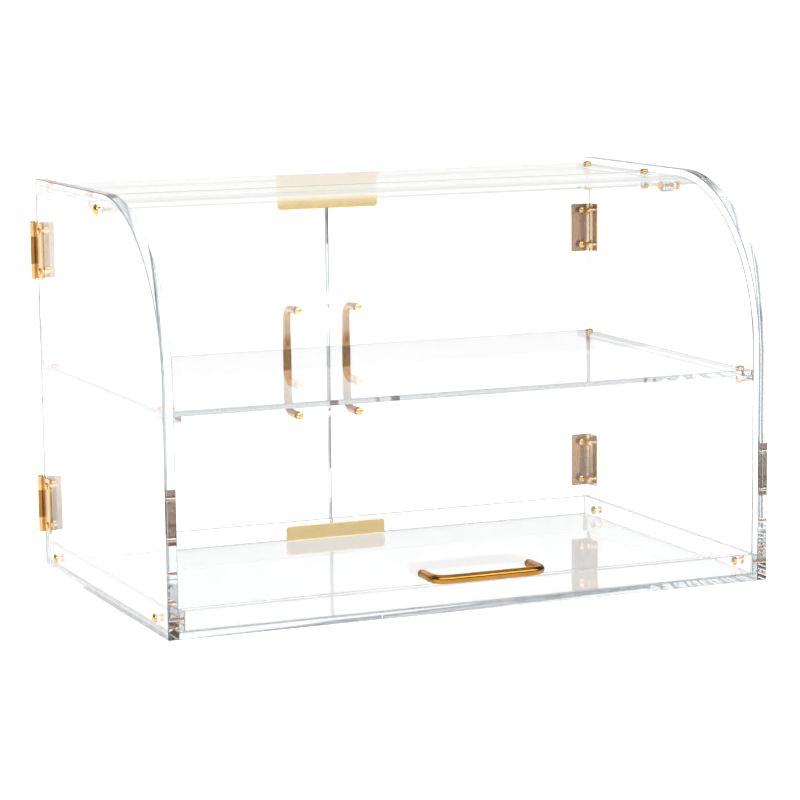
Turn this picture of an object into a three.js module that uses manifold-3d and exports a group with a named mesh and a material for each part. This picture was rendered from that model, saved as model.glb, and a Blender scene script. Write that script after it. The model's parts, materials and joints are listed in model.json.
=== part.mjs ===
// Countertop bread display case
//
// A clear two-tier case for a shop counter. Two thick side panels carry a fixed top and a shelf on
// narrow cleats, and a shallow tray closes the bottom. A curved flap lifts at the customer's side
// and two flat doors swing open at the server's side. The fittings are brass.
// Millimetres, +Z up. X is the width, the customer is at -Y and the server at +Y.

import * as THREE from 'three';
import { mergeVertices } from 'three/addons/utils/BufferGeometryUtils.js';
import Module from 'manifold-3d';

const wasm = await Module();
wasm.setup();

// Driving sizes of the case
const caseWidth = 560;
const caseDepth = 345;
const caseHeight = 355.5;
const panelThickness = 9.5;
const sheetThickness = 4.75;
const floorThickness = 6.35;
const shoulderRadius = 150;

// Clearances
const bondGap = 0.1;
const fitGap = 0.5;
const screwHoleGap = 0.3;
const pivotHoleGap = 0.06;
const overrun = 2;

// Top panel, shelf and the cleats that carry them
const topDrop = 5.5;
const shoulderToTopPanel = 53.5;
const shelfTop = 187.6;
const shelfFrontInset = 11.8;
const cleatWidth = 10;
const topScrewFrontInset = 4;
const topScrewRearInset = 20;
const shelfScrewFrontInset = 14.7;
const shelfScrewRearInset = 15.75;

// Tray
const trayHeight = 24;
const trayRearInset = 3.75;
const trayScrewHeight = 13;
const trayScrewEndInset = 32.5;

// Rear doors
const rearEarHeight = 14.2;
const rearDoorFootGap = 3;
const doorSeam = 1.5;

// Front flap and its pivots
const flapOffset = 5.5;
const flapSideGap = 1;
const flapRearGap = 1.5;
const flapFootGap = 0.3;
const shoulderToPivot = 13;
const pivotDrop = 14.9;
const pivotBlockLength = 12;
const pivotBlockDepth = 10.6;
const pivotBlockWidth = 9.5;
const pivotBlockChamfer = 2.5;
const pivotPlay = 0.4;

// Screws
const screwHeadRadius = 4;
const screwHeadHeight = 2.5;
const screwShankRadius = 1.6;
const nutRadius = 4;
const nutHeight = 3.6;
const pivotHeadRadius = 5.2;
const pivotHeadHeight = 3;
const pivotShankRadius = 2.6;
const pivotNutRadius = 4.3;
const domeRimShare = 0.25;

// Hinges
const hingeHeight = 50.5;
const upperHingeDrop = 50.3;
const lowerHingeHeight = 58.5;
const hingeLeafThickness = 1.2;
const hingeBarrelRadius = 2.6;
const hingeAxisOffset = 2.25;
const hingePinRadius = 1.2;
const middleKnuckleShare = 0.48;
const knuckleGap = 0.25;
const frameLeafWidth = 22.5;
const doorLeafWidth = 25.75;
const frameLeafScrewInset = 7.25;
const doorLeafScrewInset = 14.7;
const leafScrewSpacing = 36.4;
const leafScrewHeadRadius = 3;
const leafScrewHeadHeight = 1.5;
const leafScrewShankRadius = 1.2;
const leafNutRadius = 3.4;
const leafNutHeight = 2.6;

// Pulls
const pullSpacing = 100;
const pullRadius = 4;
const pullBend = 14;
const rearPullReach = 32;
const frontPullReach = 33;
const rearPullX = 30.25;
const rearPullZ = 173;
const frontPullZ = 34;
const pullScrewRadius = 1.6;
const pullBoreDepth = 9;
const pullScrewGrip = 4.5;
const pullScrewHeadRadius = 3.6;
const pullScrewHeadHeight = 2.2;

// Catch plates at the door seam
const catchLength = 100;
const catchThickness = 2.4;
const topCatchDrop = 19;
const topCatchFlange = 10;
const floorCatchHeight = 13.6;
const catchCornerRadius = 3.5;

// Facets on round work
const screwFacets = 12;
const hingeFacets = 16;
const pullFacets = 12;
const domeSteps = 2;
const shoulderSteps = 12;
const cornerSteps = 3;
const bendSteps = 3;

// Places that follow from the driving sizes
const halfWidth = caseWidth / 2;
const innerX = halfWidth - panelThickness;
const rearY = caseDepth / 2;
const frontY = -rearY;
const shoulderY = frontY + shoulderRadius;
const shoulderZ = caseHeight - shoulderRadius;
const doorInnerY = rearY - sheetThickness;
const doorStopY = doorInnerY - fitGap;
const doorHeadZ = caseHeight - rearEarHeight;
const topPanelTop = caseHeight - topDrop;
const topPanelUnder = topPanelTop - sheetThickness;
const topPanelFrontY = shoulderY + shoulderToTopPanel;
const shelfUnder = shelfTop - sheetThickness;
const shelfFrontY = frontY + shelfFrontInset;
const shelfRearY = doorStopY - fitGap;
const cleatX = innerX - bondGap - cleatWidth / 2;
const trayWallX = innerX - bondGap - sheetThickness;
const trayRearY = doorStopY - trayRearInset;
const flapFaceY = frontY + flapOffset;
const flapRearY = topPanelFrontY - flapRearGap;
const pivotY = shoulderY + shoulderToPivot;
const pivotZ = caseHeight - pivotDrop;
const hingeAxisX = halfWidth + hingeAxisOffset;
const hingeAxisY = rearY + hingeAxisOffset;
const sides = { left: -1, right: 1 };

// Materials
const acrylic = new THREE.MeshStandardMaterial({
  color: 0xf2f6f6, roughness: 0.05, metalness: 0, transparent: true, opacity: 0.35,
});
const brass = new THREE.MeshStandardMaterial({ color: 0xc9973f, roughness: 0.22, metalness: 1 });
const brushedBrass = new THREE.MeshStandardMaterial({ color: 0xcfa85e, roughness: 0.38, metalness: 1 });

// Solids

function solidOf(geometry) {
  const bare = geometry.clone();
  bare.deleteAttribute('normal');
  bare.deleteAttribute('uv');
  const merged = mergeVertices(bare);
  const mesh = new wasm.Mesh({
    numProp: 3,
    vertProperties: new Float32Array(merged.attributes.position.array),
    triVerts: new Uint32Array(merged.index.array),
  });
  return new wasm.Manifold(mesh);
}

function geometryOf(solid) {
  const { numProp, vertProperties, triVerts } = solid.getMesh();
  const geometry = new THREE.BufferGeometry();
  geometry.setAttribute('position', new THREE.BufferAttribute(new Float32Array(vertProperties), numProp));
  geometry.setIndex(new THREE.BufferAttribute(new Uint32Array(triVerts), 1));
  geometry.computeVertexNormals();
  return geometry;
}

function cut(geometry, tools) {
  let solid = solidOf(geometry);
  for (const tool of tools) solid = solid.subtract(solidOf(tool));
  return geometryOf(solid);
}

function join(geometries) {
  const [first, ...others] = geometries.map(solidOf);
  return geometryOf(others.reduce((whole, next) => whole.add(next), first));
}

// A block between two corners
function block(low, high) {
  const size = high.map((value, axis) => Math.abs(value - low[axis]));
  const middle = high.map((value, axis) => (value + low[axis]) / 2);
  return new THREE.BoxGeometry(...size).translate(...middle);
}

// A rod along x, y or z from one coordinate to another, centred on the other two
function rod(axis, radius, from, to, centre, facets = screwFacets) {
  const geometry = new THREE.CylinderGeometry(radius, radius, Math.abs(to - from), facets);
  if (axis === 'x') geometry.rotateZ(Math.PI / 2);
  if (axis === 'z') geometry.rotateX(Math.PI / 2);
  const place = new THREE.Vector3(...centre);
  place[axis] = (from + to) / 2;
  return geometry.translate(place.x, place.y, place.z);
}

// An outline drawn in Y and Z, as thick as the distance between two X values
function slabAlongX(outline, fromX, toX) {
  const geometry = new THREE.ExtrudeGeometry(outline, {
    depth: toX - fromX, bevelEnabled: false, curveSegments: shoulderSteps,
  });
  return geometry.rotateX(Math.PI / 2).rotateZ(Math.PI / 2).translate(fromX, 0, 0);
}

// Points of a dome from its rim to its crown, as radius and height
function domePoints(radius, height) {
  const rim = height * domeRimShare;
  const points = [];
  for (let step = 0; step <= domeSteps; step += 1) {
    const angle = (Math.PI / 2) * (step / domeSteps);
    points.push(new THREE.Vector2(radius * Math.cos(angle), rim + (height - rim) * Math.sin(angle)));
  }
  points[domeSteps].x = 0;
  return points;
}

// A screw that points down the local -Y axis, its head seated at 0 and an optional cap nut at its end
function screwGeometry({ headRadius, headHeight, shankRadius, length, capRadius, capHeight }) {
  const end = [];
  if (capRadius) {
    for (const point of domePoints(capRadius, capHeight).reverse()) {
      end.push(new THREE.Vector2(point.x, -length - point.y));
    }
    end.push(new THREE.Vector2(capRadius, -length));
  } else {
    end.push(new THREE.Vector2(0, -length));
  }
  const shank = [new THREE.Vector2(shankRadius, -length), new THREE.Vector2(shankRadius, 0)];
  const head = [new THREE.Vector2(headRadius, 0), ...domePoints(headRadius, headHeight)];
  return new THREE.LatheGeometry([...end, ...shank, ...head], screwFacets);
}

const model = new THREE.Group();

function add(name, geometry, material) {
  const mesh = new THREE.Mesh(geometry, material);
  mesh.name = name;
  model.add(mesh);
  return mesh;
}

// Side panels: cut from thick sheet with a quarter-round shoulder at the front, and set in at the
// rear by the doors' thickness so that the doors close flush with the ears above them

function sidePanelOutline() {
  const outline = new THREE.Shape();
  outline.moveTo(frontY, 0);
  outline.lineTo(doorStopY, 0);
  outline.lineTo(doorStopY, doorHeadZ);
  outline.lineTo(rearY, doorHeadZ);
  outline.lineTo(rearY, caseHeight);
  outline.lineTo(shoulderY, caseHeight);
  outline.absarc(shoulderY, shoulderZ, shoulderRadius, Math.PI / 2, Math.PI, false);
  outline.closePath();
  return outline;
}

const trayScrewYs = [frontY + trayScrewEndInset, rearY - trayScrewEndInset];
const hingeZs = { upper: doorHeadZ - upperHingeDrop, lower: lowerHingeHeight };
const leafScrewHoleRadius = leafScrewShankRadius + screwHoleGap;
const frameLeafScrewY = doorStopY - frameLeafScrewInset;
const doorLeafScrewX = halfWidth - doorLeafScrewInset;

function leafScrewZs(hingeZ) {
  return [hingeZ - leafScrewSpacing / 2, hingeZ + leafScrewSpacing / 2];
}

for (const [side, sign] of Object.entries(sides)) {
  const panel = slabAlongX(sidePanelOutline(), Math.min(sign * innerX, sign * halfWidth),
    Math.max(sign * innerX, sign * halfWidth));
  const through = [sign * (innerX - overrun), sign * (halfWidth + overrun)];
  const tools = trayScrewYs.map((y) => rod('x', screwShankRadius + screwHoleGap, ...through,
    [0, y, trayScrewHeight]));
  tools.push(rod('x', pivotShankRadius + pivotHoleGap, ...through, [0, pivotY, pivotZ], hingeFacets));
  for (const hingeZ of Object.values(hingeZs)) {
    for (const z of leafScrewZs(hingeZ)) {
      tools.push(rod('x', leafScrewHoleRadius, ...through, [0, frameLeafScrewY, z]));
    }
  }
  add(`${side}_side_panel`, cut(panel, tools), acrylic);
}

// Top panel and shelf: thin sheets that lie between the side panels on their cleats

function screwHolesThroughSheet(xs, ys, under, top) {
  const tools = [];
  for (const x of xs) {
    for (const y of ys) {
      tools.push(rod('z', screwShankRadius + screwHoleGap, under - overrun, top + overrun, [x, y, 0]));
    }
  }
  return tools;
}

const topScrewYs = { front: topPanelFrontY + topScrewFrontInset, rear: rearY - topScrewRearInset };
const shelfScrewYs = {
  front: shelfFrontY + shelfScrewFrontInset,
  rear: shelfRearY - shelfScrewRearInset,
};
const bothCleats = [-cleatX, cleatX];
const sheetHalfWidth = innerX - fitGap;

add('top_panel', cut(
  block([-sheetHalfWidth, topPanelFrontY, topPanelUnder], [sheetHalfWidth, rearY, topPanelTop]),
  screwHolesThroughSheet(bothCleats, Object.values(topScrewYs), topPanelUnder, topPanelTop),
), acrylic);

add('middle_shelf', cut(
  block([-sheetHalfWidth, shelfFrontY, shelfUnder], [sheetHalfWidth, shelfRearY, shelfTop]),
  screwHolesThroughSheet(bothCleats, Object.values(shelfScrewYs), shelfUnder, shelfTop),
), acrylic);

// Cleats: narrow strips glued along the side panels, drilled for the sheet's screws

const cleatRuns = {
  top: { from: topPanelFrontY, to: doorStopY, head: topPanelUnder - bondGap, screws: topScrewYs },
  shelf: { from: shelfFrontY, to: shelfRearY, head: shelfUnder - bondGap, screws: shelfScrewYs },
};

for (const [side, sign] of Object.entries(sides)) {
  for (const [level, run] of Object.entries(cleatRuns)) {
    const foot = run.head - sheetThickness;
    const centreX = sign * cleatX;
    add(`${side}_${level}_cleat`, cut(
      block([centreX - cleatWidth / 2, run.from, foot], [centreX + cleatWidth / 2, run.to, run.head]),
      screwHolesThroughSheet([centreX], Object.values(run.screws), foot, run.head),
    ), acrylic);
  }
}

// Tray: a thicker floor between the side panels with low walls standing on it

const floorHalfWidth = innerX - bondGap;
const wallFoot = floorThickness + bondGap;
const crossWallHalfWidth = trayWallX - bondGap;

add('tray_floor', block([-floorHalfWidth, frontY, 0], [floorHalfWidth, doorStopY, floorThickness]), acrylic);

for (const [side, sign] of Object.entries(sides)) {
  const wall = block([sign * trayWallX, frontY, wallFoot], [sign * floorHalfWidth, doorStopY, trayHeight]);
  const through = [sign * (trayWallX - overrun), sign * (floorHalfWidth + overrun)];
  add(`tray_${side}_wall`, cut(wall, trayScrewYs.map((y) => rod(
    'x', screwShankRadius + screwHoleGap, ...through, [0, y, trayScrewHeight],
  ))), acrylic);
}

add('tray_front_wall', block(
  [-crossWallHalfWidth, frontY, wallFoot],
  [crossWallHalfWidth, frontY + sheetThickness, trayHeight],
), acrylic);

add('tray_rear_wall', block(
  [-crossWallHalfWidth, trayRearY - sheetThickness, wallFoot],
  [crossWallHalfWidth, trayRearY, trayHeight],
), acrylic);

// Rear doors: flat sheets that cover the full width and meet at a seam in the middle

const pullFeet = [-pullSpacing / 2, pullSpacing / 2];

for (const [side, sign] of Object.entries(sides)) {
  const sheet = block(
    [sign * doorSeam / 2, doorInnerY, rearDoorFootGap],
    [sign * halfWidth, rearY, doorHeadZ - fitGap],
  );
  const through = [doorInnerY - overrun, rearY + overrun];
  const tools = pullFeet.map((foot) => rod('y', pullScrewRadius + screwHoleGap, ...through,
    [sign * rearPullX, 0, rearPullZ + foot]));
  for (const hingeZ of Object.values(hingeZs)) {
    for (const z of leafScrewZs(hingeZ)) {
      tools.push(rod('y', leafScrewHoleRadius, ...through, [sign * doorLeafScrewX, 0, z]));
    }
  }
  add(`${side}_rear_door`, cut(sheet, tools), acrylic);
}

// Front flap: one sheet bent to follow the shoulder, set in from the side panels' edges, with a
// short flat part behind its pivots that fills the gap to the top panel

function flapOutline() {
  const outerRadius = shoulderRadius - flapOffset;
  const innerRadius = outerRadius - sheetThickness;
  const foot = trayHeight + flapFootGap;
  const outline = new THREE.Shape();
  outline.moveTo(flapFaceY, foot);
  outline.lineTo(flapFaceY + sheetThickness, foot);
  outline.lineTo(flapFaceY + sheetThickness, shoulderZ);
  outline.absarc(shoulderY, shoulderZ, innerRadius, Math.PI, Math.PI / 2, true);
  outline.lineTo(flapRearY, topPanelUnder);
  outline.lineTo(flapRearY, topPanelTop);
  outline.lineTo(shoulderY, topPanelTop);
  outline.absarc(shoulderY, shoulderZ, outerRadius, Math.PI / 2, Math.PI, false);
  outline.closePath();
  return outline;
}

const flapHalfWidth = innerX - flapSideGap;

add('front_flap', cut(
  slabAlongX(flapOutline(), -flapHalfWidth, flapHalfWidth),
  pullFeet.map((foot) => rod('y', pullScrewRadius + screwHoleGap, flapFaceY - overrun,
    flapFaceY + sheetThickness + overrun, [foot, 0, frontPullZ])),
), acrylic);

// Pivot blocks: small blocks glued under the flap, chamfered below, that turn on the pivot screws

function pivotBlockOutline() {
  const head = topPanelUnder - bondGap;
  const foot = head - pivotBlockDepth;
  const half = pivotBlockLength / 2;
  const outline = new THREE.Shape();
  outline.moveTo(pivotY - half, head);
  outline.lineTo(pivotY - half, foot + pivotBlockChamfer);
  outline.lineTo(pivotY - half + pivotBlockChamfer, foot);
  outline.lineTo(pivotY + half - pivotBlockChamfer, foot);
  outline.lineTo(pivotY + half, foot + pivotBlockChamfer);
  outline.lineTo(pivotY + half, head);
  outline.closePath();
  return outline;
}

const blockOuterX = flapHalfWidth;
const blockInnerX = blockOuterX - pivotBlockWidth;

for (const [side, sign] of Object.entries(sides)) {
  const ends = [sign * blockInnerX, sign * blockOuterX];
  const through = [sign * (blockInnerX - overrun), sign * (blockOuterX + overrun)];
  add(`${side}_pivot_block`, cut(
    slabAlongX(pivotBlockOutline(), Math.min(...ends), Math.max(...ends)),
    [rod('x', pivotShankRadius + pivotHoleGap, ...through, [0, pivotY, pivotZ], hingeFacets)],
  ), acrylic);
}

// Pivot screws: domed through-screws with a cap nut inside the case, tight in the side panels

for (const [side, sign] of Object.entries(sides)) {
  const screw = add(`${side}_pivot_screw`, screwGeometry({
    headRadius: pivotHeadRadius,
    headHeight: pivotHeadHeight,
    shankRadius: pivotShankRadius,
    length: halfWidth + bondGap - blockInnerX + pivotPlay,
    capRadius: pivotNutRadius,
    capHeight: nutHeight,
  }), brass);
  screw.rotation.z = -sign * Math.PI / 2;
  screw.position.set(sign * (halfWidth + bondGap), pivotY, pivotZ);
}

// Sheet screws: domed heads on the top panel and the shelf, cap nuts under the cleats

const sheetScrewLevels = {
  top: { seat: topPanelTop, ys: topScrewYs },
  shelf: { seat: shelfTop, ys: shelfScrewYs },
};
const sheetScrewLength = 2 * sheetThickness + 3 * bondGap;

for (const [side, sign] of Object.entries(sides)) {
  for (const [level, { seat, ys }] of Object.entries(sheetScrewLevels)) {
    for (const [end, y] of Object.entries(ys)) {
      const screw = add(`${side}_${end}_${level}_screw`, screwGeometry({
        headRadius: screwHeadRadius,
        headHeight: screwHeadHeight,
        shankRadius: screwShankRadius,
        length: sheetScrewLength,
        capRadius: nutRadius,
        capHeight: nutHeight,
      }), brass);
      screw.rotation.x = Math.PI / 2;
      screw.position.set(sign * cleatX, y, seat + bondGap);
    }
  }
}

// Tray screws: through the side panel and the tray's side wall, cap nuts inside the tray

const trayScrewLength = panelThickness + sheetThickness + 3 * bondGap;

for (const [side, sign] of Object.entries(sides)) {
  for (const [index, y] of trayScrewYs.entries()) {
    const end = index === 0 ? 'front' : 'rear';
    const screw = add(`${side}_${end}_tray_screw`, screwGeometry({
      headRadius: screwHeadRadius,
      headHeight: screwHeadHeight,
      shankRadius: screwShankRadius,
      length: trayScrewLength,
      capRadius: nutRadius,
      capHeight: nutHeight,
    }), brass);
    screw.rotation.z = -sign * Math.PI / 2;
    screw.position.set(sign * (halfWidth + bondGap), y, trayScrewHeight);
  }
}

// Butt hinges: a frame leaf on the side panel's outer face, a door leaf on the door's rear face,
// and a capped pin through the knuckles at the corner. Each leaf's two screws, with their cap nuts
// inside the case, are one with it

const middleKnuckle = hingeHeight * middleKnuckleShare;
const knuckleEnds = {
  bottom: [-hingeHeight / 2, -middleKnuckle / 2 - knuckleGap],
  middle: [-middleKnuckle / 2, middleKnuckle / 2],
  top: [middleKnuckle / 2 + knuckleGap, hingeHeight / 2],
};
const leafSeat = hingeAxisOffset - bondGap;
const leafFace = leafSeat - hingeLeafThickness;
const knuckleBore = hingePinRadius + pivotHoleGap;

function knuckle([from, to]) {
  return rod('z', hingeBarrelRadius, from, to, [0, 0, 0], hingeFacets);
}

// The room that a leaf leaves round one of the other leaf's knuckles
function knuckleNotch(low, high, [from, to]) {
  return block([...low, from - knuckleGap], [...high, to + knuckleGap]);
}

// A leaf's screw along x or y: the head stands on the leaf's face and the shank goes through the
// sheet to its cap nut
function leafScrew(axis, sign, sheet, centre) {
  const whole = screwGeometry({
    headRadius: leafScrewHeadRadius,
    headHeight: leafScrewHeadHeight,
    shankRadius: leafScrewShankRadius,
    length: hingeLeafThickness + sheet + 2 * bondGap,
    capRadius: leafNutRadius,
    capHeight: leafNutHeight,
  });
  if (axis === 'x') whole.rotateZ(-sign * Math.PI / 2);
  return whole.translate(...centre);
}

function frameLeaf(sign) {
  const nearX = sign * -leafFace;
  const farX = sign * -leafSeat;
  const plate = block([nearX, -frameLeafWidth, -hingeHeight / 2], [farX, 0, hingeHeight / 2]);
  const clear = hingeBarrelRadius + knuckleGap;
  const room = knuckleNotch([-clear - overrun, -clear], [clear + overrun, clear], knuckleEnds.middle);
  const notched = cut(plate, [room]);
  const screws = leafScrewZs(0).map((z) => leafScrew('x', sign, panelThickness,
    [nearX, frameLeafScrewY - hingeAxisY, z]));
  const whole = join([notched, knuckle(knuckleEnds.bottom), knuckle(knuckleEnds.top), ...screws]);
  const bore = rod('z', knuckleBore, -hingeHeight, hingeHeight, [0, 0, 0], hingeFacets);
  return cut(whole, [bore]);
}

function doorLeaf(sign) {
  const reach = sign * -doorLeafWidth;
  const plate = block([0, -leafSeat, -hingeHeight / 2], [reach, -leafFace, hingeHeight / 2]);
  const clear = hingeBarrelRadius + knuckleGap;
  const rooms = [knuckleEnds.bottom, knuckleEnds.top].map((ends) => knuckleNotch(
    [-clear, -clear - overrun], [clear, clear + overrun], ends,
  ));
  const screws = leafScrewZs(0).map((z) => leafScrew('y', sign, sheetThickness,
    [sign * (doorLeafScrewX - hingeAxisX), -leafFace, z]));
  const whole = join([cut(plate, rooms), knuckle(knuckleEnds.middle), ...screws]);
  const bore = rod('z', knuckleBore, -hingeHeight, hingeHeight, [0, 0, 0], hingeFacets);
  return cut(whole, [bore]);
}

function hingePin() {
  const cap = domePoints(hingeBarrelRadius - knuckleGap, hingePinRadius);
  const seat = hingeHeight / 2 + bondGap;
  const top = cap.map((point) => new THREE.Vector2(point.x, seat + point.y));
  const foot = cap.map((point) => new THREE.Vector2(point.x, -seat - point.y)).reverse();
  const rim = hingeBarrelRadius - knuckleGap;
  return new THREE.LatheGeometry([
    ...foot,
    new THREE.Vector2(rim, -seat),
    new THREE.Vector2(hingePinRadius, -seat),
    new THREE.Vector2(hingePinRadius, seat),
    new THREE.Vector2(rim, seat),
    ...top,
  ], hingeFacets).rotateX(Math.PI / 2);
}

for (const [side, sign] of Object.entries(sides)) {
  for (const [level, z] of Object.entries(hingeZs)) {
    const place = [sign * hingeAxisX, hingeAxisY, z];
    add(`${side}_${level}_hinge_frame_leaf`, frameLeaf(sign), brass).position.set(...place);
    add(`${side}_${level}_hinge_door_leaf`, doorLeaf(sign), brushedBrass).position.set(...place);
    add(`${side}_${level}_hinge_pin`, hingePin(), brass).position.set(...place);
  }
}

// Pulls: a round bar bent to a D. The local frame has the feet on Z and the bar out along -Y

function pullPath(reach) {
  const half = pullSpacing / 2;
  const out = -(reach - pullRadius);
  const corner = (z, turn) => new THREE.Vector3(0, out, z + turn);
  const path = new THREE.CurvePath();
  path.add(new THREE.LineCurve3(new THREE.Vector3(0, 0, -half), new THREE.Vector3(0, out + pullBend, -half)));
  path.add(new THREE.QuadraticBezierCurve3(
    new THREE.Vector3(0, out + pullBend, -half), corner(-half, 0), corner(-half, pullBend),
  ));
  path.add(new THREE.LineCurve3(corner(-half, pullBend), corner(half, -pullBend)));
  path.add(new THREE.QuadraticBezierCurve3(
    corner(half, -pullBend), corner(half, 0), new THREE.Vector3(0, out + pullBend, half),
  ));
  path.add(new THREE.LineCurve3(new THREE.Vector3(0, out + pullBend, half), new THREE.Vector3(0, 0, half)));
  return path;
}

function pullGeometry(reach) {
  const section = new THREE.Shape().absarc(0, 0, pullRadius, 0, 2 * Math.PI, false);
  const path = pullPath(reach);
  const stops = Math.round(path.getLength() / (pullBend / bendSteps));
  const bar = new THREE.ExtrudeGeometry(section, {
    extrudePath: path, steps: stops, curveSegments: pullFacets / 2, bevelEnabled: false,
  });
  const bores = pullFeet.map((z) => rod('y', pullScrewRadius + screwHoleGap, -pullBoreDepth,
    overrun, [0, 0, z]));
  return cut(bar, bores);
}

const pullPlaces = {
  left_rear: { reach: rearPullReach, at: [-rearPullX, rearY + bondGap, rearPullZ], turn: [0, 0, Math.PI] },
  right_rear: { reach: rearPullReach, at: [rearPullX, rearY + bondGap, rearPullZ], turn: [0, 0, Math.PI] },
  front: { reach: frontPullReach, at: [0, flapFaceY - bondGap, frontPullZ], turn: [0, Math.PI / 2, 0] },
};

for (const [name, { reach, at, turn }] of Object.entries(pullPlaces)) {
  const pull = add(`${name}_pull`, pullGeometry(reach), brass);
  pull.position.set(...at);
  pull.rotation.set(...turn);
}

// Pull screws: domed heads inside the case, shanks through the sheet into the pull's feet

const pullScrewShape = {
  headRadius: pullScrewHeadRadius,
  headHeight: pullScrewHeadHeight,
  shankRadius: pullScrewRadius,
  length: sheetThickness + 2 * bondGap + pullScrewGrip,
};

for (const [side, sign] of Object.entries(sides)) {
  for (const [index, foot] of pullFeet.entries()) {
    const end = index === 0 ? 'lower' : 'upper';
    const screw = add(`${side}_rear_pull_${end}_screw`, screwGeometry(pullScrewShape), brass);
    screw.rotation.z = Math.PI;
    screw.position.set(sign * rearPullX, doorInnerY - bondGap, rearPullZ + foot);
  }
}

for (const [side, sign] of Object.entries(sides)) {
  const screw = add(`front_pull_${side}_screw`, screwGeometry(pullScrewShape), brass);
  screw.position.set(sign * pullSpacing / 2, flapFaceY + sheetThickness + bondGap, frontPullZ);
}

// Catch plates: brass strips that the doors close against beside the seam. The upper one is bent
// and its flange is stuck under the top panel, the lower one lies flat on the tray's rear wall

function catchOutline(height, roundedAbove) {
  const half = catchLength / 2;
  const far = roundedAbove ? height : 0;
  const near = height - far;
  const inward = Math.sign(near - far) * catchCornerRadius;
  const outline = new THREE.Shape();
  outline.moveTo(-half, near);
  outline.lineTo(-half, far + inward);
  outline.quadraticCurveTo(-half, far, -half + catchCornerRadius, far);
  outline.lineTo(half - catchCornerRadius, far);
  outline.quadraticCurveTo(half, far, half, far + inward);
  outline.lineTo(half, near);
  outline.closePath();
  return outline;
}

function uprightPlate(outline) {
  return new THREE.ExtrudeGeometry(outline, {
    depth: catchThickness, bevelEnabled: false, curveSegments: cornerSteps,
  }).rotateX(Math.PI / 2);
}

const topCatch = join([
  uprightPlate(catchOutline(topCatchDrop, false)),
  block(
    [-catchLength / 2, -topCatchFlange, topCatchDrop - catchThickness],
    [catchLength / 2, 0, topCatchDrop],
  ),
]);
add('top_catch_plate', topCatch, brushedBrass)
  .position.set(0, doorStopY, topPanelUnder - bondGap - topCatchDrop);

add('floor_catch_plate', uprightPlate(catchOutline(floorCatchHeight, true)), brushedBrass)
  .position.set(0, trayRearY - sheetThickness - bondGap, wallFoot);

// The origin stands on the counter under the middle of the case with its pulls
const rearReach = rearY + bondGap + rearPullReach;
const frontReach = -flapFaceY + bondGap + frontPullReach;
model.position.y = (frontReach - rearReach) / 2;

export default model;
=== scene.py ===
"""Countertop bread display case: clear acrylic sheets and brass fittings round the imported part."""

import json
import math

import bmesh
import bpy
from mathutils import Matrix, Vector

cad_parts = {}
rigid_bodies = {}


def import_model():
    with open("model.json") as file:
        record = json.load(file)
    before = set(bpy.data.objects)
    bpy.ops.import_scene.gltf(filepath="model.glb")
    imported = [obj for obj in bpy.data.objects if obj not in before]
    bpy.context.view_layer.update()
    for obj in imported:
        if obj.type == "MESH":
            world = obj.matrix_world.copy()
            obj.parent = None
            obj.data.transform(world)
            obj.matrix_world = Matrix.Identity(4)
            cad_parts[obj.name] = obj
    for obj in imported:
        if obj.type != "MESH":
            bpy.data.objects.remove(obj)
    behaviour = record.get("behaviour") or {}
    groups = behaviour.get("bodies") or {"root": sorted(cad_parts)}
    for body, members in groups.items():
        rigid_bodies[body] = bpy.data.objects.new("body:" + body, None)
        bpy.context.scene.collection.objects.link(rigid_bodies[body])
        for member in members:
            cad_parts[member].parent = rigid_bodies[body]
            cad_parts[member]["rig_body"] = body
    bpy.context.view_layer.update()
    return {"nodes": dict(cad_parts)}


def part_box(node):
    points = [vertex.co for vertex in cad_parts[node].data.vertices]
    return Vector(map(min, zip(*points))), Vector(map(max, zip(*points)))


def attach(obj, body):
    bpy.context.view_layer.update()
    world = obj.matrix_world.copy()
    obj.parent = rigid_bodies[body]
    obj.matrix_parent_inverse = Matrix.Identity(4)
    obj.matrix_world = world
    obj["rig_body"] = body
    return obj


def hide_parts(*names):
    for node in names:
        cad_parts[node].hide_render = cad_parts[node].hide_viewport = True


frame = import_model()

# Side panels
# Two thick cast acrylic sheets, cut with a quarter-round shoulder, notched behind for the doors and
# polished at their edges. The cleats, the tray, the hinges and the flap's pivots are fixed to them.

mm = 0.001
sides = {"left": -1, "right": 1}
shoulder_radius = 150 * mm
shoulder_steps = 96
shoulder_lead = 0.4 * mm
door_notch_height = 14.2 * mm
door_notch_depth = 5.25 * mm
polished_rim = 0.5 * mm
panel_rim = 0.9 * mm
overrun = 2 * mm
hole_sides = 48
small_hole_sides = 24
screw_hole = 1.9 * mm
tray_screw_height = 13 * mm
tray_screw_end_inset = 32.5 * mm
pivot_hole = 2.66 * mm
pivot_place = (-11.75 * mm, 340.6 * mm)
hinge_heights = {"upper": 291 * mm, "lower": 58.5 * mm}
leaf_screw_rises = {"lower": -18.2 * mm, "upper": 18.2 * mm}
leaf_screw_hole = 1.5 * mm
frame_leaf_screw_inset = 7.25 * mm
acrylic_index = 1.491


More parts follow.
